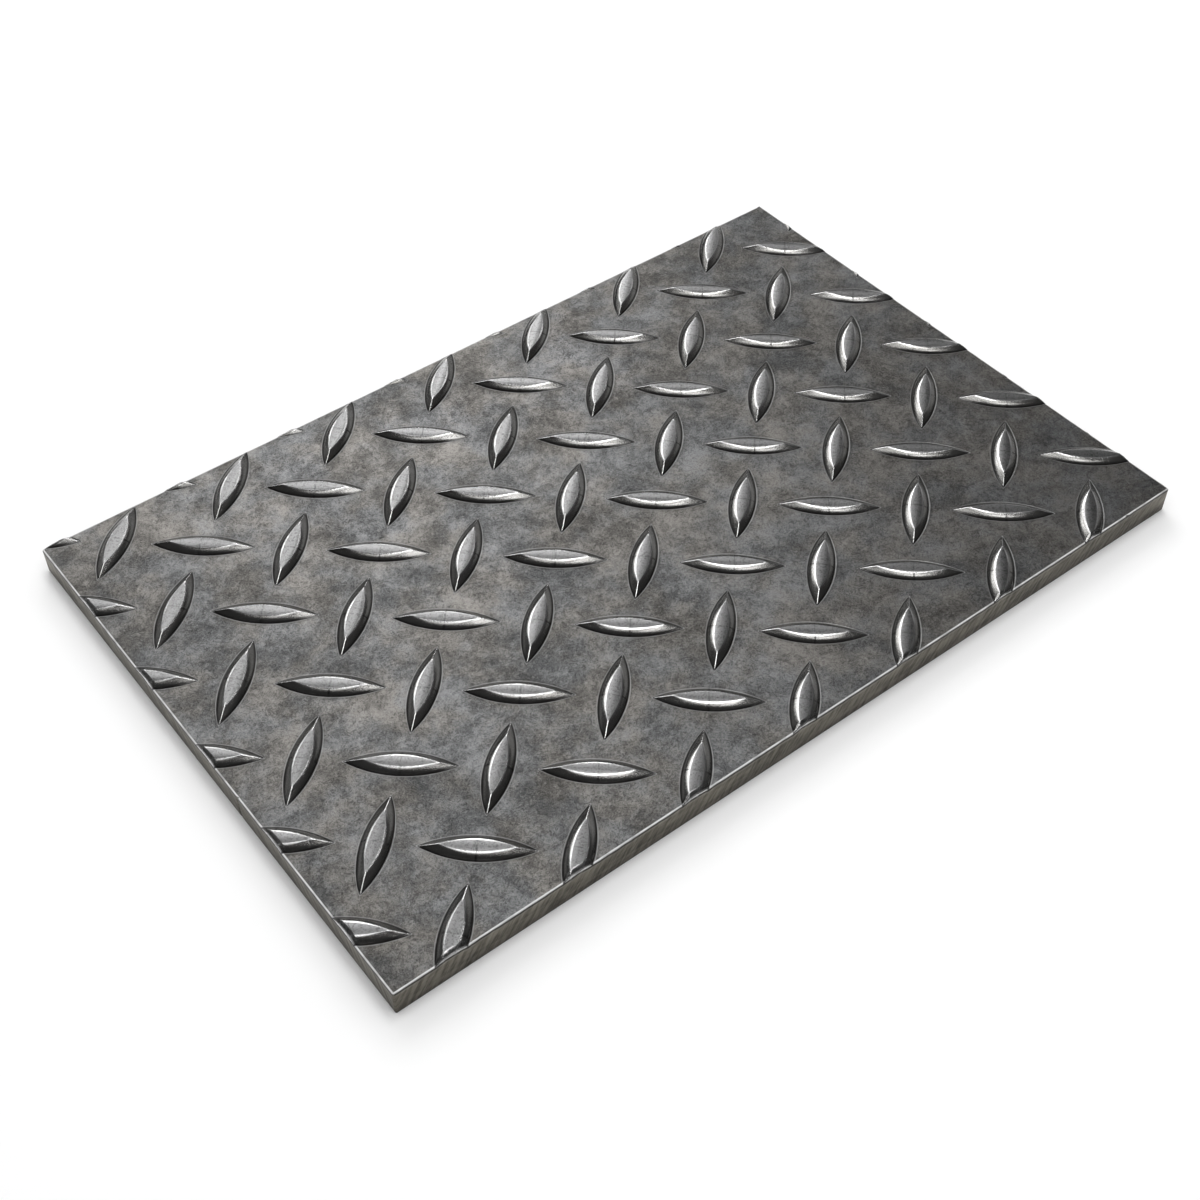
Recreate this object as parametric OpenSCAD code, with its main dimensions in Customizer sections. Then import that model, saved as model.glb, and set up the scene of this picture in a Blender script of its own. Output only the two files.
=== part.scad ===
// Checker steel plate: a rectangle cut from hot-rolled floor plate, flat below and
// with raised lens-shaped lugs above. The lugs are rolled from the same steel, so
// the plate is one solid. Millimetres, +Z up. The origin is the middle of the
// underside, and X runs along the long edges.

/* [Plate] */
// Length along the long edges
plate_length = 300; // [120:1:600]
// Width along the short edges
plate_width = 200; // [80:1:400]
// Thickness of the steel between the lugs
plate_thickness = 9.5; // [3:0.5:16]

/* [Lugs] */
// Length of a lug, from tip to tip
lug_length = 32.5; // [24:0.5:40]
// Width of a lug at the middle of its foot
lug_width = 8.3; // [6:0.1:10]
// Height of a lug's crest above the steel around it
lug_height = 1.6; // [0.8:0.1:2.2]
// Slope of a lug's flanks, in degrees above level
flank_slope = 34; // [30:1:60]
// Radius of the crest's rounding across the lug
crest_radius = 12; // [10:1:30]

/* [Pattern] */
// Distance along the length at which the lugs repeat
repeat_length = 41.4; // [38:0.1:60]
// Distance across the width at which the lugs repeat
repeat_width = 36.7; // [34:0.1:60]
// Offset of the pattern along the length, from the plate's middle
pattern_x = 15.9; // [-30:0.1:30]
// Offset of the pattern across the width, from the plate's middle
pattern_y = -2; // [-30:0.1:30]
// Turn of the pattern from square with the cut edges, in degrees
pattern_turn = 0.7; // [-5:0.1:5]

/* [Hidden] */
$fn = 96;
steel = [0.29, 0.29, 0.29];

// How far a lug's solid runs down into the plate, so that the two are one piece.
root = 2;

// How far the box that trims the lugs to the cut edges stands clear of their crests.
trim_clearance = 1;

// A lug's foot is a lens: the overlap of two equal circles.
foot_radius = (pow(lug_length, 2) + pow(lug_width, 2)) / (4 * lug_width);
foot_offset = foot_radius - lug_width / 2;

// Every lug lies along a diagonal of the pattern's repeat.
lug_angle = atan2(repeat_width, repeat_length);

// Repeats needed on each side of the middle to reach past the corners.
reach = norm([plate_length, plate_width]) / 2 + lug_length
    + norm([pattern_x, pattern_y]);
columns = ceil(reach / repeat_length);
rows = ceil(reach / repeat_width);

// The cone whose slope is one flank of a lug that lies along X. It runs from the
// root up to the crest's height.
module flank_cone(side)
    translate([0, side * foot_offset, -root])
        cylinder(h = root + lug_height,
                 r1 = foot_radius + root / tan(flank_slope),
                 r2 = foot_radius - lug_height / tan(flank_slope));

// The round bar whose top is the crest of a lug that lies along X. It runs past
// both tips.
module crest_bar()
    translate([0, 0, lug_height - crest_radius])
        rotate([0, 90, 0])
            cylinder(h = 2 * lug_length, r = crest_radius, center = true);

// One whole lug along X, centred on the origin, with its foot at Z = 0.
module lug()
    intersection() {
        flank_cone(1);
        flank_cone(-1);
        crest_bar();
    }

// True where a lug at this place, in the pattern's own axes, may reach the plate.
function on_plate(x, y) =
    let (plate_x = x * cos(pattern_turn) - y * sin(pattern_turn),
         plate_y = x * sin(pattern_turn) + y * cos(pattern_turn))
    abs(plate_x) < (plate_length + lug_length) / 2
    && abs(plate_y) < (plate_width + lug_length) / 2;

// The lugs of one direction: shift moves them by a share of the repeat.
module lug_set(shift, angle)
    for (column = [-columns : columns], row = [-rows : rows]) {
        x = pattern_x + (column + shift) * repeat_length;
        y = pattern_y + (row + shift) * repeat_width;
        if (on_plate(x, y))
            translate([x, y, plate_thickness])
                rotate([0, 0, angle])
                    lug();
    }

// Lugs that fall towards +X stand at the repeat's corners, and lugs that rise
// towards +X stand at its middle.
module lug_pattern()
    rotate([0, 0, pattern_turn]) {
        lug_set(0, -lug_angle);
        lug_set(0.5, lug_angle);
    }

// A box on the plate's outline, from the underside up.
module outline_box(height)
    translate([-plate_length / 2, -plate_width / 2, 0])
        cube([plate_length, plate_width, height]);

module checker_plate()
    color(steel)
        intersection() {
            union() {
                outline_box(plate_thickness);
                lug_pattern();
            }
            outline_box(plate_thickness + lug_height + trim_clearance);
        }

checker_plate();
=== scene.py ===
"""Checker steel plate: a flat cut of hot-rolled floor plate with raised lens-shaped lugs.

The plate is one piece. Its rolled face is laid out as tiles, one lug to a tile, that
meet edge to edge; the sheet of tiles is trimmed to the cut edges and closed below.
The plate and its materials are worked out in millimetres, and the finished mesh is
scaled to metres. The studio is in metres.
"""

import math

import bmesh
import bpy
from mathutils import Matrix, Vector, noise


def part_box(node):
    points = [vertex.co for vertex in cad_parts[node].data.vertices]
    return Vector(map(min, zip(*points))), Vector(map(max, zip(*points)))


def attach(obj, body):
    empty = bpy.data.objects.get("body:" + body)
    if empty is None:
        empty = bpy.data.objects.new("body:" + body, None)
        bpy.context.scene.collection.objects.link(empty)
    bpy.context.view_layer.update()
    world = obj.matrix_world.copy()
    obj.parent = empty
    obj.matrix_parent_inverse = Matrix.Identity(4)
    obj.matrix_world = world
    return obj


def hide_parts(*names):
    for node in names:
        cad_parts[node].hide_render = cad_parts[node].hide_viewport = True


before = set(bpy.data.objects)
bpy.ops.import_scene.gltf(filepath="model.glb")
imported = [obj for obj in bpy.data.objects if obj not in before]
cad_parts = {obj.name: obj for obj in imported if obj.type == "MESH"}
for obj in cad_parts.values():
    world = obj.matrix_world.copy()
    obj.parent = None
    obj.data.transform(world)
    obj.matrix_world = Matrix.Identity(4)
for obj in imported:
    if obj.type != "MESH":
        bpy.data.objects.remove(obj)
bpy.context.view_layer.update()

MM = 0.001
PLATE_LOW, PLATE_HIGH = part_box("checker_plate")

# ---------------------------------------------------------------- sizes, in millimetres

HALF_LENGTH = PLATE_HIGH.x / MM
HALF_WIDTH = PLATE_HIGH.y / MM
UNDERSIDE = PLATE_LOW.z / MM

LUG_LENGTH = 32.5
LUG_WIDTH = 8.3
LUG_HEIGHT = 1.6
CREST_LENGTH = 20.9
CREST_WIDTH = 4.1
CREST_RADIUS = 12.0
FLANK_BULGE = 0.25
TIP_RADIUS = 0.22
FACE = PLATE_HIGH.z / MM - LUG_HEIGHT

# The middle line of the crest, as a share of the crest's length, and how bright the ridge
# that runs from each end of that line to the lug's tip is rubbed and painted with a
# highlight.
RIDGE_SHARE = 0.86
RIDGE_WEAR_AND_HIGHLIGHT = 0.9

REPEAT_LENGTH = 41.4
REPEAT_WIDTH = 36.7
PATTERN_X = 15.9
PATTERN_Y = -2.0
PATTERN_TURN = math.radians(0.7)

# The two half-diagonals of the repeat. Lugs stand at every sum of them, and a lug
# lies along one or the other by turns.
FALL = Vector((REPEAT_LENGTH / 2, -REPEAT_WIDTH / 2, 0.0))
RISE = Vector((-REPEAT_LENGTH / 2, -REPEAT_WIDTH / 2, 0.0))

# A tile's outline: four corners that its neighbours share, and between them four
# points pushed out past the lug's tips or in towards its sides.
TIP_REACH = 0.72
SIDE_REACH = 1.0 - TIP_REACH
OUTLINE = (
    (TIP_REACH, 0.0), (0.5, 0.5), (0.0, SIDE_REACH), (-0.5, 0.5),
    (-TIP_REACH, 0.0), (-0.5, -0.5), (0.0, -SIDE_REACH), (0.5, -0.5),
)
STEPS_PER_SIDE = 8
AROUND = STEPS_PER_SIDE * len(OUTLINE)

RIM_RADIUS = 0.6
CORNER_CUT = 0.7

# Points that are this near each other are merged: in a tile, where tiles meet, and
# along the cuts. A point this near a cutting plane lies on it.
MERGE_IN_TILE = 0.001
MERGE_TILES = 0.02
MERGE_CUTS = 0.03
ON_PLANE = 0.0005


# ---------------------------------------------------------------- the rolled face

def lens(length, width, step):
    """A point on a lens with slightly rounded tips, that lies along X."""
    half = AROUND // 2
    side = 1.0 if step < half else -1.0
    step = min(step, AROUND - step)
    if step in (0, half):
        return Vector((length / 2 if step == 0 else -length / 2, 0.0, 0.0))
    long_half = length / 2 - TIP_RADIUS
    short_half = width / 2 - TIP_RADIUS
    radius = (long_half ** 2 + short_half ** 2) / (2 * short_half)
    share = (step - 1) / (half - 2)
    x = long_half * math.cos(math.pi * share)
    slope = x / radius
    y = math.sqrt(radius ** 2 - x ** 2) - radius + short_half
    out = Vector((slope, math.sqrt(1 - slope ** 2), 0.0)) * TIP_RADIUS
    return Vector((x + out.x, side * (y + out.y), 0.0))


def crest_height(y):
    """The crest's height above the face, at that distance from its middle line."""
    return LUG_HEIGHT - CREST_RADIUS + math.sqrt(CREST_RADIUS ** 2 - y ** 2)


def outline_point(step):
    """A point on the tile's outline, in the frame of a lug that lies along X."""
    turn = Matrix.Rotation(-math.atan2(FALL.y, FALL.x), 3, "Z")
    along, across = turn @ FALL, turn @ -RISE
    corners = [along * a + across * b for a, b in OUTLINE]
    side, part = divmod(step, STEPS_PER_SIDE)
    start, end = corners[side], corners[(side + 1) % len(corners)]
    return start.lerp(end, part / STEPS_PER_SIDE)


def crest_edge(step):
    """A point where the crest meets the flank, for a lug that lies along X."""
    point = lens(CREST_LENGTH, CREST_WIDTH, step)
    point.z = crest_height(point.y)
    return point


def on_flank(share, sink=0.0):
    """A row on the bulged flank, from the foot, at share 0, to the crest's edge, at 1."""
    def place(step):
        foot, edge = lens(LUG_LENGTH, LUG_WIDTH, step), crest_edge(step)
        point = foot.lerp(edge, share)
        bulge = FLANK_BULGE * 4 * share * (1 - share) * foot.y / (LUG_WIDTH / 2)
        slope = math.atan2(edge.z, abs(foot.y - edge.y))
        point.y += bulge * math.sin(slope)
        point.z += abs(bulge) * math.cos(slope) - sink
        return point
    return place


def on_crest(share, sink=0.0):
    """A row between the middle line of the crest, at share 0, and its edge."""
    def place(step):
        edge = crest_edge(step)
        point = Vector((edge.x * (RIDGE_SHARE + (1 - RIDGE_SHARE) * share),
                        edge.y * share, 0.0))
        point.z = crest_height(point.y) - sink
        return point
    return place


def on_ground(away, height=0.0):
    """A row outside the lug's foot, at that distance from it."""
    def place(step):
        point = lens(LUG_LENGTH + 2 * away, LUG_WIDTH + 2 * away, step)
        point.z = height
        return point
    return place


# The rows of a tile from the middle line of the crest outwards: where each row lies, and how
# far it is rubbed bright with a painted highlight, darkened with painted shade in the crease
# at the foot, given a painted highlight on the lip that was pushed up round it, or darkened
# with painted shade on the ground beside it.
ROWS = (
    dict(place=on_crest(0.0), lug=1.0, crest=1.0),
    dict(place=on_crest(0.45), lug=1.0, crest=1.0),
    dict(place=on_crest(0.86), lug=1.0, crest=1.0),
    dict(place=on_crest(0.95, 0.01), lug=1.0, crest=0.6, wear_and_highlight=0.7),
    dict(place=on_flank(0.98, 0.02), lug=1.0, wear_and_highlight=1.0),
    dict(place=on_flank(0.91), lug=1.0, wear_and_highlight=0.45),
    dict(place=on_flank(0.78), lug=1.0),
    dict(place=on_flank(0.56), lug=1.0),
    dict(place=on_flank(0.34), lug=1.0, crease_shade=0.1),
    dict(place=on_flank(0.14), lug=1.0, crease_shade=0.5),
    dict(place=on_flank(0.0, 0.05), lug=0.6, crease_shade=1.0, halo_shade=1.0),
    dict(place=on_ground(0.3, 0.04), lip_highlight=1.0, crease_shade=0.05, halo_shade=0.2),
    dict(place=on_ground(0.6), halo_shade=0.5),
    dict(place=on_ground(1.5)),
    dict(place=outline_point),
)
MASKS = ("lug", "crest", "wear_and_highlight", "crease_shade", "lip_highlight", "halo_shade")


def lug_tile(bm):
    """One tile, round a lug that lies along X, as rings about its middle."""
    made = bmesh.ops.create_circle(bm, segments=AROUND, radius=1.0, cap_ends=False)
    ring = made["verts"]
    for row in range(1, len(ROWS)):
        outer = set(ring)
        edges = [e for e in bm.edges if e.is_boundary or e.is_wire]
        edges = [e for e in edges if outer.issuperset(e.verts)]
        grown = bmesh.ops.extrude_edge_only(bm, edges=edges)["geom"]
        ring = [g for g in grown if isinstance(g, bmesh.types.BMVert)]
        bmesh.ops.scale(bm, vec=((row + 1) / row,) * 3, verts=ring)
    layers = {name: bm.verts.layers.float.new(name) for name in MASKS}
    bm.verts.layers.float.new("serial")
    along = bm.verts.layers.float.new("along")
    for vert in bm.verts:
        row = ROWS[round(vert.co.length) - 1]
        turn = math.atan2(vert.co.y, vert.co.x) / (2 * math.pi)
        step = round(turn * AROUND) % AROUND
        vert.co = row["place"](step)
        for name, layer in layers.items():
            vert[layer] = row.get(name, 0.0)
        # The ridges at the tips are rubbed bright with a painted highlight.
        if step in (0, AROUND // 2) and row.get("lug"):
            vert[layers["wear_and_highlight"]] = max(vert[layers["wear_and_highlight"]], RIDGE_WEAR_AND_HIGHLIGHT)
        vert[along] = vert.co.x
    bmesh.ops.remove_doubles(bm, verts=bm.verts, dist=MERGE_IN_TILE)


def tile_meshes():
    """The tile for each direction of lug, as two plain meshes."""
    bm = bmesh.new()
    lug_tile(bm)
    turn = Matrix.Rotation(math.atan2(FALL.y, FALL.x), 3, "Z")
    bmesh.ops.rotate(bm, matrix=turn, verts=bm.verts)
    falling = bpy.data.meshes.new("falling tile")
    bm.to_mesh(falling)
    bmesh.ops.scale(bm, vec=(-1, 1, 1), verts=bm.verts)
    rising = bpy.data.meshes.new("rising tile")
    bm.to_mesh(rising)
    bm.free()
    return falling, rising


def tile_places():
    """Where each tile stands, and whether its lug rises towards +X."""
    middle = Vector((PATTERN_X, PATTERN_Y, 0.0))
    turn = Matrix.Rotation(PATTERN_TURN, 3, "Z")
    reach = TIP_REACH * FALL.length
    span = int(2 * HALF_LENGTH / FALL.length) + 2
    for a in range(-span, span + 1):
        for b in range(-span, span + 1):
            place = turn @ (middle + FALL * a + RISE * b)
            inside = (abs(place.x) < HALF_LENGTH + reach and
                      abs(place.y) < HALF_WIDTH + reach)
            if inside:
                yield place, (a + b) % 2 == 1


def laid_tiles():
    """The sheet of tiles, joined edge to edge."""
    falling, rising = tile_meshes()
    turn = Matrix.Rotation(PATTERN_TURN, 4, "Z")
    bm = bmesh.new()
    for serial, (place, rises) in enumerate(tile_places()):
        tile = (rising if rises else falling).copy()
        tile.transform(Matrix.Translation(place + Vector((0, 0, FACE))) @ turn)
        tile.attributes["serial"].data.foreach_set("value", [serial] * len(tile.vertices))
        bm.from_mesh(tile)
        bpy.data.meshes.remove(tile)
    for mesh in (falling, rising):
        bpy.data.meshes.remove(mesh)
    bmesh.ops.remove_doubles(bm, verts=bm.verts, dist=MERGE_TILES)
    return bm


# ---------------------------------------------------------------- the cut plate

SIDES = (
    (Vector((1, 0, 0)), HALF_LENGTH), (Vector((-1, 0, 0)), HALF_LENGTH),
    (Vector((0, 1, 0)), HALF_WIDTH), (Vector((0, -1, 0)), HALF_WIDTH),
)
# The rows of the rim's rounding, as shares of its radius in from the cut, and the dents
# in it, broad and fine, by how many there are to a millimetre.
RIM_ROWS = (0.12, 0.4, 0.8, 1.0)
BROAD_DENTS = 0.35
FINE_DENTS = 1.3

# Only faces that reach to within this of a cut are looked at for it.
CUT_BAND = 1.0

# A lug that the cut goes through slopes down to the cut over a short length, to a share of
# its height. One more row lies just inside it, and where the slope starts it is worn and
# carries a painted highlight.
# A point within the reach of that line counts as on it.
END_LENGTH = 1.4
END_HEIGHT = 0.3
END_EDGE = 0.35
END_WEAR_AND_HIGHLIGHT = 0.6
END_REACH = 0.01

# A face belongs to the cut sides if it is this upright and this near the cut.
UPRIGHT = 0.35
CUT_SKIN = 0.2
SHARP_ANGLE = math.radians(48)


def cut(bm, normal, distance, clear):
    """Cuts the sheet by an upright plane, and where asked clears what lies past it."""
    faces = bm.faces[:]
    if not clear:
        near = distance - CUT_BAND
        faces = [f for f in faces if any(v.co.dot(normal) > near for v in f.verts)]
    # Each one once, in the order in which the faces hold them.
    edges = dict.fromkeys(e for f in faces for e in f.edges)
    verts = dict.fromkeys(v for f in faces for v in f.verts)
    bmesh.ops.bisect_plane(bm, geom=[*verts, *edges, *faces], dist=ON_PLANE,
                           plane_co=normal * distance, plane_no=normal, clear_outer=clear)


def trim(bm):
    """Trims the sheet to the plate's outline, with rows for the rim's rounding."""
    for normal, distance in SIDES:
        cut(bm, normal, distance, True)
    for normal, distance in SIDES:
        for share in RIM_ROWS:
            cut(bm, normal, distance - share * RIM_RADIUS, False)
        cut(bm, normal, distance - END_LENGTH, False)
        cut(bm, normal, distance - END_LENGTH - END_EDGE, False)
    for x in (-1, 1):
        for y in (-1, 1):
            normal = Vector((x, y, 0)).normalized()
            corner = Vector((x * HALF_LENGTH, y * HALF_WIDTH, 0))
            cut(bm, normal, corner.dot(normal) - CORNER_CUT / 2, True)
    bmesh.ops.remove_doubles(bm, verts=bm.verts, dist=MERGE_CUTS)


def rim_depth(point):
    """How far into the rim's rounding a point is, from 0 inside to 1 at the cut."""
    x = max(0.0, abs(point.x) - HALF_LENGTH + RIM_RADIUS)
    y = max(0.0, abs(point.y) - HALF_WIDTH + RIM_RADIUS)
    return min(1.0, math.hypot(x, y) / RIM_RADIUS)


def slope_ends(bm):
    """Slopes each cut lug down to the cut, with a worn edge and a painted highlight where the
    slope starts.
    """
    wear_and_highlight = bm.verts.layers.float["wear_and_highlight"]
    lug = bm.verts.layers.float["lug"]
    crease_shade = bm.verts.layers.float["crease_shade"]
    for vert in bm.verts:
        away = min(HALF_LENGTH - abs(vert.co.x), HALF_WIDTH - abs(vert.co.y))
        if away < END_LENGTH + END_REACH:
            share = END_HEIGHT + (1 - END_HEIGHT) * min(1.0, away / END_LENGTH)
            vert.co.z = FACE + (vert.co.z - FACE) * share
            # Only the crest and the upper flank get the wear and painted highlight, and not
            # the foot with its painted shade.
            upper = vert[lug] > 0.9 and vert[crease_shade] < 0.05
            if upper and away > END_LENGTH - END_REACH:
                vert[wear_and_highlight] = max(vert[wear_and_highlight], END_WEAR_AND_HIGHLIGHT)


def round_rim(bm):
    """Lowers the sheet's edge into a rounding, with a worn line and painted highlight over a
    dark line of painted shade.
    """
    wear_and_highlight = bm.verts.layers.float["wear_and_highlight"]
    crease_shade = bm.verts.layers.float["crease_shade"]
    for vert in bm.verts:
        depth = rim_depth(vert.co)
        if depth > 0:
            uneven = noise.noise(vert.co * BROAD_DENTS)
            uneven += 0.5 * noise.noise(vert.co * FINE_DENTS)
            radius = RIM_RADIUS * (0.9 + 0.5 * uneven)
            vert.co.z -= radius * (1 - math.sqrt(1 - depth ** 2))
            # Near the cut, rubbed steel with a painted highlight, and right at it a line of
            # painted shade.
            vert[wear_and_highlight] = max(vert[wear_and_highlight], min(1.0, 5 * depth, 3.5 * (1 - depth)))
            vert[crease_shade] = max(vert[crease_shade], 5 * depth - 4)


def down(step):
    """The height of a row that lies so far below the row before it."""
    return lambda height: height - step


def level(height):
    """The height of a row that lies level all round."""
    return lambda _: height


# The rows of the wall from the rim down to the underside: the height of each, how far in from
# the cut it lies, and how far it is rubbed bright with a painted highlight or darkened with
# painted shade.
WALL_ROWS = (
    dict(height=down(0.25), crease_shade=0.7),
    dict(height=down(0.3), wear_and_highlight=0.12),
    dict(height=down(0.8)),
    dict(height=level(FACE * 0.55)),
    dict(height=level(UNDERSIDE + 1.2)),
    dict(height=level(UNDERSIDE + 0.6), crease_shade=0.5),
    dict(height=level(UNDERSIDE + 0.1), inset=0.12, crease_shade=0.85),
    dict(height=level(UNDERSIDE), inset=0.4, crease_shade=0.4),
    dict(height=level(UNDERSIDE), inset=1.2),
)


def grow_down(bm, height, inset=0.0, wear_and_highlight=0.0, crease_shade=0.0):
    """Carries the sheet's open edge down to a height, and in by an inset."""
    edges = [e for e in bm.edges if e.is_boundary]
    grown = bmesh.ops.extrude_edge_only(bm, edges=edges)["geom"]
    masks = dict.fromkeys(MASKS, 0.0) | {"wear_and_highlight": wear_and_highlight, "crease_shade": crease_shade}
    for vert in (g for g in grown if isinstance(g, bmesh.types.BMVert)):
        x, y = vert.co.x, vert.co.y
        vert.co.x = math.copysign(min(abs(x), HALF_LENGTH - inset), x)
        vert.co.y = math.copysign(min(abs(y), HALF_WIDTH - inset), y)
        vert.co.z = height(vert.co.z)
        for name, value in masks.items():
            vert[bm.verts.layers.float[name]] = value


def close_below(bm):
    """Walls the sheet in down to the underside, and fills that in."""
    for row in WALL_ROWS:
        grow_down(bm, **row)
    edges = [e for e in bm.edges if e.is_boundary]
    bmesh.ops.edgeloop_fill(bm, edges=edges)


def plate_mesh():
    """The whole plate in metres, with its cut sides in the second material."""
    bm = laid_tiles()
    trim(bm)
    slope_ends(bm)
    round_rim(bm)
    close_below(bm)
    bmesh.ops.dissolve_degenerate(bm, dist=ON_PLANE, edges=bm.edges)
    bmesh.ops.recalc_face_normals(bm, faces=bm.faces)
    for face in bm.faces:
        face.smooth = True
        middle = face.calc_center_median()
        upright = abs(face.normal.z) < UPRIGHT
        at_cut = max(abs(middle.x) - HALF_LENGTH, abs(middle.y) - HALF_WIDTH) > -CUT_SKIN
        face.material_index = 1 if upright and at_cut else 0
    bmesh.ops.scale(bm, vec=(MM,) * 3, verts=bm.verts)
    mesh = bpy.data.meshes.new("Checker plate")
    bm.to_mesh(mesh)
    bm.free()
    mesh.set_sharp_from_angle(angle=SHARP_ANGLE)
    return mesh


# ---------------------------------------------------------------- shared effects

def new_group(name, inputs, outputs):
    """A shader node group with named sockets: floats, vectors and colours."""
    tree = bpy.data.node_groups.new(name, "ShaderNodeTree")
    for label, kind, value in inputs:
        socket = tree.interface.new_socket(label, in_out="INPUT",
                                           socket_type="NodeSocket" + kind)
        if value is not None:
            socket.default_value = value
    for label, kind in outputs:
        tree.interface.new_socket(label, in_out="OUTPUT", socket_type="NodeSocket" + kind)
    start = tree.nodes.new("NodeGroupInput")
    end = tree.nodes.new("NodeGroupOutput")
    return tree, start.outputs, end.inputs


def place_group(tree, group, **values):
    """The group as a node in a tree, with its inputs set or linked by name."""
    node = tree.nodes.new("ShaderNodeGroup")
    node.node_tree = group
    for name, value in values.items():
        feed(tree, node.inputs[name.replace("_", " ")], value)
    return node.outputs


def feed(tree, socket, value):
    """Links a socket to another node's output, or sets it to a plain value."""
    if isinstance(value, bpy.types.NodeSocket):
        tree.links.new(value, socket)
    else:
        socket.default_value = value


def maths(tree, operation, first, second=0.0, third=None, clamp=False):
    """A sum on plain values."""
    node = tree.nodes.new("ShaderNodeMath")
    node.operation = operation
    node.use_clamp = clamp
    feed(tree, node.inputs[0], first)
    feed(tree, node.inputs[1], second)
    if third is not None:
        feed(tree, node.inputs[2], third)
    return node.outputs[0]


def vector_maths(tree, operation, first, second):
    """A sum on vectors, or a vector scaled by a plain value."""
    node = tree.nodes.new("ShaderNodeVectorMath")
    node.operation = operation
    feed(tree, node.inputs[0], first)
    feed(tree, node.inputs["Scale" if operation == "SCALE" else 1], second)
    return node.outputs[0]


def noise_at(tree, place, scale, detail=3.0, roughness=0.5, distortion=0.0):
    """Noise at a place, with about so many marks to each unit of it."""
    node = tree.nodes.new("ShaderNodeTexNoise")
    for name, value in (("Vector", place), ("Scale", scale), ("Detail", detail),
                        ("Roughness", roughness), ("Distortion", distortion)):
        feed(tree, node.inputs[name], value)
    return node.outputs


def ramp(tree, value, low, high, low_out=0.0, high_out=1.0, smooth=True):
    """Maps low..high onto low_out..high_out, held level outside."""
    node = tree.nodes.new("ShaderNodeMapRange")
    node.interpolation_type = "SMOOTHSTEP" if smooth else "LINEAR"
    node.clamp = True
    for name, setting in (("Value", value), ("From Min", low), ("From Max", high),
                          ("To Min", low_out), ("To Max", high_out)):
        feed(tree, node.inputs[name], setting)
    return node.outputs[0]


# A Mix node has sockets for every kind of value at once. These are the numbers of the
# two inputs to mix, and of the output, for plain values and for colours.
MIX_VALUES = (2, 3)
MIX_COLOURS = (6, 7)
MIXED_VALUE = 0
MIXED_COLOUR = 2


def blend(tree, share, first, second, mode="MIX"):
    """Mixes two colours."""
    node = tree.nodes.new("ShaderNodeMix")
    node.data_type = "RGBA"
    node.blend_type = mode
    feed(tree, node.inputs[0], share)
    for socket, value in zip(MIX_COLOURS, (first, second)):
        feed(tree, node.inputs[socket], value)
    return node.outputs[MIXED_COLOUR]


def blend_value(tree, share, first, second):
    """Mixes two plain values."""
    node = tree.nodes.new("ShaderNodeMix")
    node.data_type = "FLOAT"
    feed(tree, node.inputs[0], share)
    for socket, value in zip(MIX_VALUES, (first, second)):
        feed(tree, node.inputs[socket], value)
    return node.outputs[MIXED_VALUE]


def mask(tree, name):
    """One of the mesh's own masks, by name."""
    node = tree.nodes.new("ShaderNodeAttribute")
    node.attribute_name = name
    return node.outputs["Fac"]


def millimetres(tree):
    """Object coordinates in millimetres."""
    place = tree.nodes.new("ShaderNodeTexCoord").outputs["Object"]
    node = tree.nodes.new("ShaderNodeMapping")
    node.inputs["Scale"].default_value = (1 / MM,) * 3
    tree.links.new(place, node.inputs["Vector"])
    return node.outputs[0]


def bump(tree, height, strength, distance, normal=None):
    """Relief of that many millimetres, laid over the normal where one is given."""
    node = tree.nodes.new("ShaderNodeBump")
    node.inputs["Strength"].default_value = strength
    node.inputs["Distance"].default_value = distance * MM
    feed(tree, node.inputs["Height"], height)
    if normal is not None:
        feed(tree, node.inputs["Normal"], normal)
    return node.outputs[0]


def stretched(tree, place, turn, sizes):
    """A place for a texture whose marks are that many times as large along each axis."""
    node = tree.nodes.new("ShaderNodeMapping")
    node.vector_type = "TEXTURE"
    node.inputs["Rotation"].default_value = [math.radians(angle) for angle in turn]
    node.inputs["Scale"].default_value = sizes
    feed(tree, node.inputs["Vector"], place)
    return node.outputs[0]


def creased(tree, value, width):
    """Thin lines where a noise passes through its middle value."""
    off = maths(tree, "ABSOLUTE", maths(tree, "SUBTRACT", value, 0.5))
    return ramp(tree, off, 0.0, width, 1.0, 0.0)


# How far off a second noise is read, so that it doesn't follow the first.
WARMTH_SHIFT = (130.0, 70.0, 20.0)
CRACKLE_SHIFT = (40.0, 90.0, 10.0)


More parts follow.
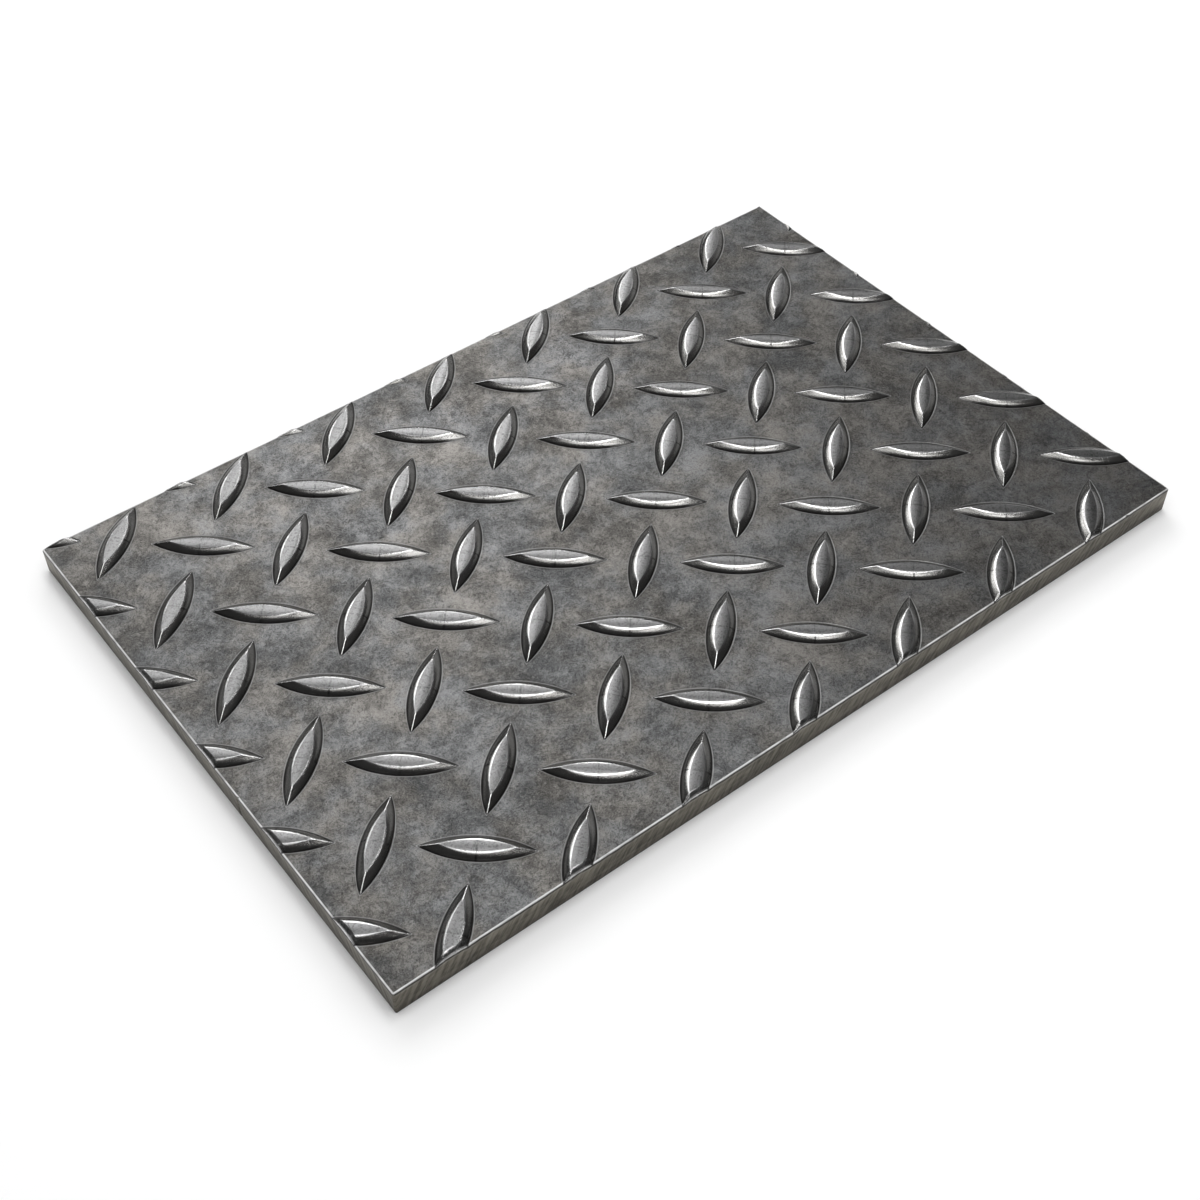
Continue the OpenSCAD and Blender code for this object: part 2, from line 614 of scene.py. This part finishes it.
def mill_scale_group():
    """Cloudy patches of scale: how light each spot is, how warm, and its relief."""
    tree, start, end = new_group(
        "Mill scale",
        [("Place", "Vector", None), ("Patch Size", "Float", 12.0), ("Swirl", "Float", 7.0)],
        [("Lightness", "Float"), ("Warmth", "Float"), ("Relief", "Float")])
    per_patch = maths(tree, "DIVIDE", 1.0, start["Patch Size"])

    def marks(count):
        """The scale of a noise with about so many marks to a patch."""
        return maths(tree, "MULTIPLY", per_patch, count)

    swirl = noise_at(tree, start["Place"], marks(0.8), 4.0)
    shift = vector_maths(tree, "SUBTRACT", swirl["Color"], (0.5, 0.5, 0.5))
    shift = vector_maths(tree, "SCALE", shift, start["Swirl"])
    place = vector_maths(tree, "ADD", start["Place"], shift)
    broad = noise_at(tree, place, marks(0.55), 5.0, 0.55)["Fac"]
    patch = noise_at(tree, place, marks(1.5), 7.0, 0.66)["Fac"]
    flecks = noise_at(tree, place, marks(6.0), 5.0, 0.72, 1.2)["Fac"]
    edged = ramp(tree, patch, 0.46, 0.54)
    light = maths(tree, "MULTIPLY_ADD", broad, 0.6, maths(tree, "MULTIPLY", patch, 0.6))
    light = maths(tree, "MULTIPLY_ADD", flecks, 0.5, maths(tree, "SUBTRACT", light, 0.35))
    light = maths(tree, "MULTIPLY_ADD", edged, 0.04, maths(tree, "SUBTRACT", light, 0.02))
    feed(tree, end["Lightness"], ramp(tree, light, 0.29, 0.71, smooth=False))
    apart = vector_maths(tree, "ADD", place, WARMTH_SHIFT)
    warm = noise_at(tree, apart, marks(0.7), 5.0, 0.6)["Fac"]
    feed(tree, end["Warmth"], ramp(tree, warm, 0.38, 0.62))
    feed(tree, end["Relief"], maths(tree, "MULTIPLY_ADD", flecks, 0.6, patch))
    return tree


def grain_group():
    """Fine marks in rolled steel: fibres, curled hair lines, crackle, grain and specks."""
    tree, start, end = new_group(
        "Steel grain",
        [("Place", "Vector", None)],
        [("Fibres", "Float"), ("Hair Lines", "Float"), ("Crackle", "Float"),
         ("Grain", "Float"), ("Specks", "Float")])
    place = start["Place"]
    leafy = noise_at(tree, place, 0.38, 4.0, 0.6, 2.4)["Fac"]
    small = noise_at(tree, place, 0.85, 3.0, 0.6, 2.0)["Fac"]
    finer = noise_at(tree, place, 1.6, 3.0, 0.65, 1.0)["Fac"]
    fibres = maths(tree, "MULTIPLY_ADD", creased(tree, leafy, 0.12), 0.4, finer)
    fibres = maths(tree, "MULTIPLY_ADD", creased(tree, small, 0.12), 0.35, fibres)
    feed(tree, end["Fibres"], ramp(tree, fibres, 0.35, 1.15, smooth=False))
    curls = noise_at(tree, place, 0.3, 3.0, 0.55, 2.6)["Fac"]
    where = ramp(tree, noise_at(tree, place, 0.1, 3.0)["Fac"], 0.48, 0.6)
    feed(tree, end["Hair Lines"], maths(tree, "MULTIPLY", creased(tree, curls, 0.02), where))
    bent = vector_maths(tree, "SCALE", noise_at(tree, place, 0.5, 2.0)["Color"], 1.6)
    bent = vector_maths(tree, "ADD", place, bent)
    cells = tree.nodes.new("ShaderNodeTexVoronoi")
    cells.feature = "DISTANCE_TO_EDGE"
    cells.inputs["Scale"].default_value = 0.28
    tree.links.new(bent, cells.inputs["Vector"])
    cracks = ramp(tree, cells.outputs["Distance"], 0.0, 0.03, 1.0, 0.0)
    away = vector_maths(tree, "ADD", place, CRACKLE_SHIFT)
    where = ramp(tree, noise_at(tree, away, 0.09, 2.0)["Fac"], 0.5, 0.64)
    feed(tree, end["Crackle"], maths(tree, "MULTIPLY", cracks, where))
    feed(tree, end["Grain"], noise_at(tree, place, 1.7, 3.0, 0.6)["Fac"])
    specks = noise_at(tree, away, 1.1, 4.0, 0.7, 0.6)["Fac"]
    feed(tree, end["Specks"], ramp(tree, specks, 0.59, 0.67))
    return tree


EFFECTS = {"scale": mill_scale_group(), "grain": grain_group()}


# ---------------------------------------------------------------- materials

def new_material(name):
    """A material and its node tree, with a Principled BSDF in it."""
    material = bpy.data.materials.new(name)
    material.use_nodes = True
    return material, material.node_tree


def grey(value, warmth=0.0):
    """A grey for steel, made browner by its warmth."""
    return (value * (1 + 0.3 * warmth), value, value * (1 - 0.6 * warmth), 1.0)


# The finishes, from painted shade in the creases to steel that is rubbed bare and carries a
# painted highlight.
# Painted shade: a near black for the creases at the lugs' feet, the line under the rim and
# the bottom of the cut sides.
PAINTED_SHADE = grey(0.012)
NICK = grey(0.02)
CRACK = grey(0.03)
# Painted shade: a dark warm grey for the halo on the ground round each lug's foot.
HALO_SHADE = grey(0.03, 0.2)
SCALE_DARK, SCALE_LIGHT = grey(0.062), grey(0.26)
SCALE_COOL, SCALE_WARM = (0.985, 1.0, 1.012, 1), (1.042, 0.995, 0.93, 1)
HAIR_LINE = grey(0.33, 0.1)
SPECK = grey(0.33, 0.05)
# Painted highlight: a light grey for the slight lip round each lug's foot.
LIP_HIGHLIGHT = grey(0.4)
FLANK_DARK, FLANK_LIGHT = grey(0.25, 0.08), grey(0.35, 0.04)
CREST_DARK, CREST_LIGHT = grey(0.13), grey(0.27)
CUT_DARK, CUT_LIGHT = grey(0.04, 0.4), grey(0.2, 0.32)
# Rubbed steel with a painted highlight, for the rims and ridges of the face and for the cut's
# rim.
RUBBED_FACE_AND_HIGHLIGHT = grey(0.72)
RUBBED_RIM_AND_HIGHLIGHT = grey(0.62, 0.03)

# How rough each finish is; where there are two, from the darkest scale to the lightest.
SCALE_ROUGH = (0.5, 0.38)
LUG_ROUGH = 0.22
CREST_ROUGH = 0.33
RUBBED_ROUGH = 0.24
CUT_ROUGH = (0.5, 0.4)
RUBBED_RIM_ROUGH = 0.28


def scale_colour(tree, scale, grain):
    """The colour of the ground between the lugs."""
    light = maths(tree, "MULTIPLY_ADD", grain["Fibres"], 0.9, scale["Lightness"])
    light = maths(tree, "MULTIPLY_ADD", light, 0.75, -0.25, clamp=True)
    light = maths(tree, "POWER", light, 1.5)
    ground = blend(tree, light, SCALE_DARK, SCALE_LIGHT)
    tint = blend(tree, scale["Warmth"], SCALE_COOL, SCALE_WARM)
    ground = blend(tree, 1.0, ground, tint, "MULTIPLY")
    hair = maths(tree, "MULTIPLY", grain["Hair Lines"], 0.5)
    ground = blend(tree, hair, ground, HAIR_LINE)
    specks = maths(tree, "MULTIPLY", grain["Specks"], 0.45)
    ground = blend(tree, specks, ground, SPECK)
    dark_lines = maths(tree, "MULTIPLY", grain["Crackle"], 0.15)
    ground = blend(tree, dark_lines, ground, CRACK)
    # Painted shade in a halo round each lug's foot.
    halo_shade = maths(tree, "MULTIPLY", mask(tree, "halo_shade"), 0.4)
    ground = blend(tree, halo_shade, ground, HALO_SHADE)
    # Painted highlight on the lip round each lug's foot.
    lip_highlight = maths(tree, "MULTIPLY", mask(tree, "lip_highlight"), 0.55)
    return blend(tree, lip_highlight, ground, LIP_HIGHLIGHT)


def nick_mask(tree, place):
    """A short dark nick across the middle of most lugs."""
    serial = tree.nodes.new("ShaderNodeTexWhiteNoise")
    serial.noise_dimensions = "1D"
    feed(tree, serial.inputs["W"], mask(tree, "serial"))
    chance = serial.outputs["Value"]
    shift = maths(tree, "MULTIPLY_ADD", chance, 1.6, -0.8)
    off = maths(tree, "ABSOLUTE", maths(tree, "ADD", mask(tree, "along"), shift))
    nick = ramp(tree, off, 0.12, 0.36, 1.0, 0.0)
    broken = ramp(tree, noise_at(tree, place, 0.9, 2.0)["Fac"], 0.4, 0.5)
    return maths(tree, "MULTIPLY", nick, broken)


def lug_colour(tree, scale, grain, place):
    """The colour of a lug: smooth flanks, and a pitted crest."""
    crest = mask(tree, "crest")
    flank = blend(tree, scale["Lightness"], FLANK_DARK, FLANK_LIGHT)
    pits = maths(tree, "MULTIPLY_ADD", grain["Grain"], 0.6,
                 maths(tree, "MULTIPLY", grain["Fibres"], 0.5))
    top = blend(tree, ramp(tree, pits, 0.3, 0.75), CREST_DARK, CREST_LIGHT)
    colour = blend(tree, crest, flank, top)
    depth = blend_value(tree, crest, 0.85, 0.4)
    nick = maths(tree, "MULTIPLY", nick_mask(tree, place), depth)
    return blend(tree, nick, colour, NICK)


def rubbed_and_highlight_share(tree, place):
    """How far each spot is rubbed to bright steel and painted with a highlight along rims and
    ridges.
    """
    uneven = ramp(tree, noise_at(tree, place, 0.2, 3.0)["Fac"], 0.3, 0.55, 0.65, 1.0)
    return maths(tree, "MULTIPLY", mask(tree, "wear_and_highlight"), uneven, clamp=True)


def rolled_steel():
    """The rolled face: dark cloudy scale, and lugs that are rubbed bright with painted
    highlights, with painted shade in their creases.
    """
    material, tree = new_material("Rolled face")
    shader = tree.nodes["Principled BSDF"]
    place = millimetres(tree)
    scale = place_group(tree, EFFECTS["scale"], Place=place)
    grain = place_group(tree, EFFECTS["grain"], Place=place)
    lug = mask(tree, "lug")
    bright = rubbed_and_highlight_share(tree, place)

    colour = blend(tree, lug, scale_colour(tree, scale, grain),
                   lug_colour(tree, scale, grain, place))
    # Rubbed steel with a painted highlight along the rims and ridges.
    colour = blend(tree, bright, colour, RUBBED_FACE_AND_HIGHLIGHT)
    # Painted shade in the creases at the lugs' feet and along the rim.
    crease_shade = maths(tree, "MULTIPLY", mask(tree, "crease_shade"), 0.85)
    colour = blend(tree, crease_shade, colour, PAINTED_SHADE)
    feed(tree, shader.inputs["Base Color"], colour)

    # Rubbed steel on the rim, which carries a painted highlight, and the painted highlight on
    # the lips are scratched and scatter light.
    off_lug = maths(tree, "SUBTRACT", 1.0, lug)
    scratched = maths(tree, "MULTIPLY_ADD", mask(tree, "lip_highlight"), 0.25,
                      maths(tree, "MULTIPLY", bright, off_lug))
    feed(tree, shader.inputs["Metallic"], maths(tree, "SUBTRACT", 1.0, scratched, clamp=True))

    rough = ramp(tree, scale["Lightness"], 0.0, 1.0, *SCALE_ROUGH, smooth=False)
    rough = blend_value(tree, lug, rough, LUG_ROUGH)
    rough = blend_value(tree, mask(tree, "crest"), rough, CREST_ROUGH)
    rough = blend_value(tree, bright, rough, RUBBED_ROUGH)
    feed(tree, shader.inputs["Roughness"], rough)

    # Both reliefs are fainter on the lugs, which the rolls pressed smooth.
    pitting = maths(tree, "MULTIPLY", scale["Relief"],
                    maths(tree, "MULTIPLY_ADD", lug, -0.8, 1.0))
    fine = maths(tree, "MULTIPLY_ADD", grain["Fibres"], 0.8, grain["Grain"])
    fine = maths(tree, "MULTIPLY", fine, maths(tree, "MULTIPLY_ADD", lug, -0.5, 1.0))
    relief = bump(tree, pitting, 0.25, 0.5)
    relief = bump(tree, fine, 0.35, 0.06, relief)
    feed(tree, shader.inputs["Normal"], relief)
    return material


def along_cut(tree, place):
    """Each spot's distance along the cut as X and height as Y, and the height alone."""
    apart = tree.nodes.new("ShaderNodeSeparateXYZ")
    tree.links.new(place, apart.inputs[0])
    joined = tree.nodes.new("ShaderNodeCombineXYZ")
    feed(tree, joined.inputs["X"], maths(tree, "ADD", apart.outputs["X"], apart.outputs["Y"]))
    tree.links.new(apart.outputs["Z"], joined.inputs["Y"])
    return joined.outputs[0], apart.outputs["Z"]


# The marks on the cut sides: long and thin, the streaks at a slant and the bands level.
STREAK_SLANT = 58.0
STREAK_SIZE = (9.0, 1.3, 1.0)
BAND_SIZE = (34.0, 1.7, 1.0)

# Painted shade on the cut sides: they are darkest at the lower of these heights and clear at
# the upper.
SHADE_LOW = 0.5
SHADE_HIGH = 8.5


def cut_steel():
    """The cut sides: brownish steel with slanting marks, with painted shade towards the
    bottom and in a line under its rim, which is rubbed bright with a painted highlight.
    """
    material, tree = new_material("Cut edge")
    shader = tree.nodes["Principled BSDF"]
    place = millimetres(tree)
    scale = place_group(tree, EFFECTS["scale"], Place=place, Patch_Size=7.0, Swirl=2.0)
    grain = place_group(tree, EFFECTS["grain"], Place=place)
    side, up = along_cut(tree, place)
    slanted = stretched(tree, side, (0.0, 0.0, STREAK_SLANT), STREAK_SIZE)
    streaks = ramp(tree, noise_at(tree, slanted, 1.0, 4.0, 0.6)["Fac"], 0.36, 0.64)
    bands = stretched(tree, side, (0.0, 0.0, 0.0), BAND_SIZE)
    bands = ramp(tree, noise_at(tree, bands, 1.0, 3.0, 0.5)["Fac"], 0.36, 0.64)
    light = maths(tree, "MULTIPLY_ADD", streaks, 0.5, maths(tree, "MULTIPLY", bands, 0.3))
    light = maths(tree, "MULTIPLY_ADD", scale["Lightness"], 0.25, light, clamp=True)
    colour = blend(tree, light, CUT_DARK, CUT_LIGHT)
    # Painted shade: the cut sides darken towards the underside.
    height = ramp(tree, up, SHADE_LOW, SHADE_HIGH, 0.62, 1.0, smooth=False)
    colour = blend(tree, height, PAINTED_SHADE, colour)
    bright = rubbed_and_highlight_share(tree, place)
    # Rubbed steel with a painted highlight along the rim.
    colour = blend(tree, bright, colour, RUBBED_RIM_AND_HIGHLIGHT)
    # Painted shade under the rim and at the bottom edge.
    colour = blend(tree, mask(tree, "crease_shade"), colour, PAINTED_SHADE)
    feed(tree, shader.inputs["Base Color"], colour)
    feed(tree, shader.inputs["Metallic"], maths(tree, "SUBTRACT", 1.0, bright, clamp=True))
    rough = ramp(tree, streaks, 0.0, 1.0, *CUT_ROUGH, smooth=False)
    rough = blend_value(tree, bright, rough, RUBBED_RIM_ROUGH)
    feed(tree, shader.inputs["Roughness"], rough)
    relief = bump(tree, streaks, 0.3, 0.15)
    relief = bump(tree, grain["Grain"], 0.3, 0.05, relief)
    feed(tree, shader.inputs["Normal"], relief)
    return material


def build_plate():
    """The visible plate, in the place of the plain one."""
    plate = bpy.data.objects.new("Checker_plate", plate_mesh())
    bpy.context.scene.collection.objects.link(plate)
    plate.data.materials.append(rolled_steel())
    plate.data.materials.append(cut_steel())
    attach(plate, "root")
    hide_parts("checker_plate")


# ---------------------------------------------------------------- studio, in metres

# The camera looks at a spot on the rolled face, from a distance along its heading.
AIM = Vector((-25.3, -25.1, FACE)) * MM
CAMERA_DISTANCE = 0.5338
CAMERA_HEADING = math.radians(52.28)
CAMERA_PITCH = math.radians(47.30)
CAMERA_ROLL = math.radians(-0.26)
LENS = 52.49
SENSOR = 36.0

FLOOR_REACH = 6.0
FLOOR_PAPER = (0.9, 0.9, 0.9, 1)
FLOOR_ROUGH = 0.9
WORLD_STRENGTH = 0.05

# The lights: where each one stands, the spot it faces, its two sides and its power.
ON_FLOOR = (0, 0, 0)
ABOVE_FLOOR = (0, 0, 0.1)
SOFTBOX = (0.3, 0.3)
LIGHTS = (
    ("Back fill", (0.25, 1.25, 1.0), ON_FLOOR, (0.9, 0.9), 2.6),
    ("Back softbox", (0.56, 1.06, 1.0), (0.04, 0.08, 0), (0.45, 0.4), 1.3),
    ("Far softbox", (0.15, 1.5, 1.0), ON_FLOOR, SOFTBOX, 1.1),
    ("Far right softbox", (0.9, 1.4, 1.0), ON_FLOOR, SOFTBOX, 2.1),
    ("Right softbox", (0.9, 0.8, 1.0), ON_FLOOR, SOFTBOX, 0.6),
    ("High softbox", (0.15, 0.75, 1.0), ON_FLOOR, SOFTBOX, 0.6),
    ("Overhead softbox", (0.15, 0.05, 1.0), ON_FLOOR, SOFTBOX, 2.0),
    ("Overhead left softbox", (-0.2, 0.0, 1.0), ON_FLOOR, SOFTBOX, 0.6),
    ("Front softbox", (0.0, -0.4, 1.0), ON_FLOOR, SOFTBOX, 1.15),
    ("Left wall", (-0.7, 1.5, 0.3), ABOVE_FLOOR, (1.0, 0.6), 0.4),
    ("Right wall", (1.6, 0.4, 0.5), ON_FLOOR, (1.2, 0.8), 1.0),
    ("Front wall", (-0.5, -2.1, 0.5), ABOVE_FLOOR, (3.0, 1.0), 3.5),
    ("Far left wall", (-2.2, 0.0, 0.5), ABOVE_FLOOR, (2.4, 1.0), 2.5),
)
FLOOR_FILL = ("Floor fill", (0.0, 0.0, 1.2), ON_FLOOR, (6.0, 6.0), 76.0)


def add_camera():
    """The camera, turned to its aim and rolled a little."""
    data = bpy.data.cameras.new("Camera")
    data.lens = LENS
    data.sensor_width = SENSOR
    camera = bpy.data.objects.new("Camera", data)
    forward = Vector((math.cos(CAMERA_HEADING) * math.cos(CAMERA_PITCH),
                      math.sin(CAMERA_HEADING) * math.cos(CAMERA_PITCH),
                      -math.sin(CAMERA_PITCH)))
    turn = forward.to_track_quat("-Z", "Y").to_matrix()
    turn = turn @ Matrix.Rotation(CAMERA_ROLL, 3, "Z")
    camera.matrix_world = Matrix.Translation(AIM - forward * CAMERA_DISTANCE) @ turn.to_4x4()
    bpy.context.scene.collection.objects.link(camera)
    bpy.context.scene.camera = camera


def area_light(name, place, aim, size, power, in_gloss=True):
    """A flat light. One that isn't in gloss lights things but is never mirrored."""
    data = bpy.data.lights.new(name, "AREA")
    data.shape = "RECTANGLE"
    data.size, data.size_y = size
    data.energy = power
    light = bpy.data.objects.new(name, data)
    direction = Vector(aim) - Vector(place)
    light.matrix_world = (Matrix.Translation(place) @
                          direction.to_track_quat("-Z", "Y").to_matrix().to_4x4())
    light.visible_camera = False
    light.visible_glossy = in_gloss
    bpy.context.scene.collection.objects.link(light)


def add_floor():
    """A wide sheet of white paper, which is not part of the object."""
    bm = bmesh.new()
    bmesh.ops.create_grid(bm, x_segments=1, y_segments=1, size=FLOOR_REACH)
    mesh = bpy.data.meshes.new("Floor")
    bm.to_mesh(mesh)
    bm.free()
    floor = bpy.data.objects.new("Floor", mesh)
    bpy.context.scene.collection.objects.link(floor)
    material, tree = new_material("Floor paper")
    shader = tree.nodes["Principled BSDF"]
    shader.inputs["Base Color"].default_value = FLOOR_PAPER
    shader.inputs["Roughness"].default_value = FLOOR_ROUGH
    floor.data.materials.append(material)


def add_lights():
    """The softboxes and walls, the fill for the floor, and a faint light all round."""
    for row in LIGHTS:
        area_light(*row)
    area_light(*FLOOR_FILL, in_gloss=False)
    world = bpy.data.worlds.new("Studio")
    world.use_nodes = True
    backdrop = world.node_tree.nodes["Background"]
    backdrop.inputs["Color"].default_value = (1, 1, 1, 1)
    backdrop.inputs["Strength"].default_value = WORLD_STRENGTH
    bpy.context.scene.world = world
    bpy.context.scene.view_settings.view_transform = "Standard"


build_plate()
add_camera()
add_floor()
add_lights()
